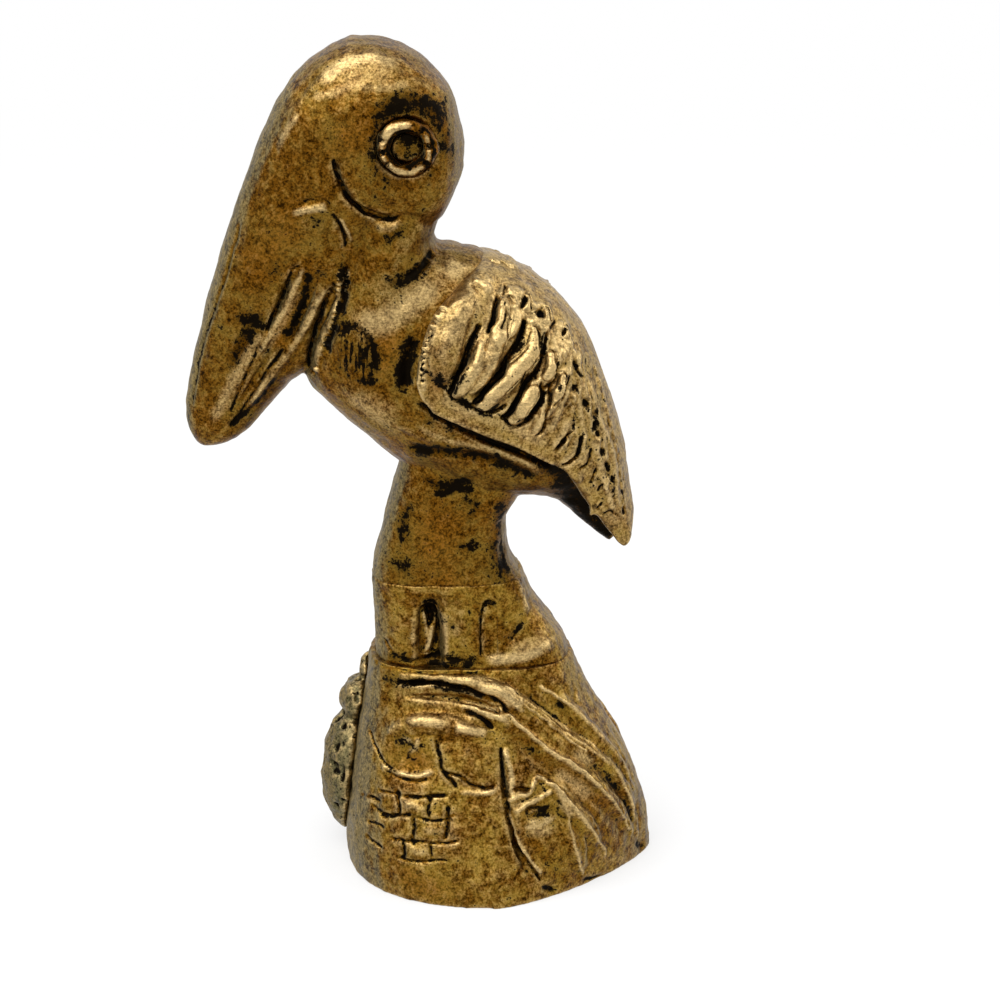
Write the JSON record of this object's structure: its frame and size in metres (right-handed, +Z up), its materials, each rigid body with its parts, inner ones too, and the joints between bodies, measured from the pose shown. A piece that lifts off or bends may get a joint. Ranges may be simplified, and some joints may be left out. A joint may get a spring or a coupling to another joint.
{
  "type": "pelican figurine",
  "caption": "Cast brass pelican with its long bill laid on its chest, scaly raised wings and rimmed eyes, standing on a carved rocky stump with a flat foot.",
  "frame": {"origin": "middle of the bounding box, on the flat underside of the rock", "axes": "+Z up, the bill points to -X and the tail to +X, the bird's left flank is at -Y"},
  "size_m": [0.056, 0.0358, 0.1019],
  "materials": {
    "antique_brass": "cast, golden brown, with a near-black patina in the recesses and rubbed high points",
    "rubbed_brass": "rubbed bright on the rim, dark in the bore",
    "rough_brass": "rough as cast, grey green, pitted",
    "steel": "dull, plain"
  },
  "bodies": {
    "root": {"bird_body": "antique_brass", "left_wing": "antique_brass", "right_wing": "antique_brass", "left_eye_ring": "rubbed_brass", "right_eye_ring": "rubbed_brass", "perch_stump": "antique_brass", "rock_base": "antique_brass", "side_rock": "rough_brass", "tie_screw": "steel", "screw_washer": "steel"}
  },
  "joints": []
}
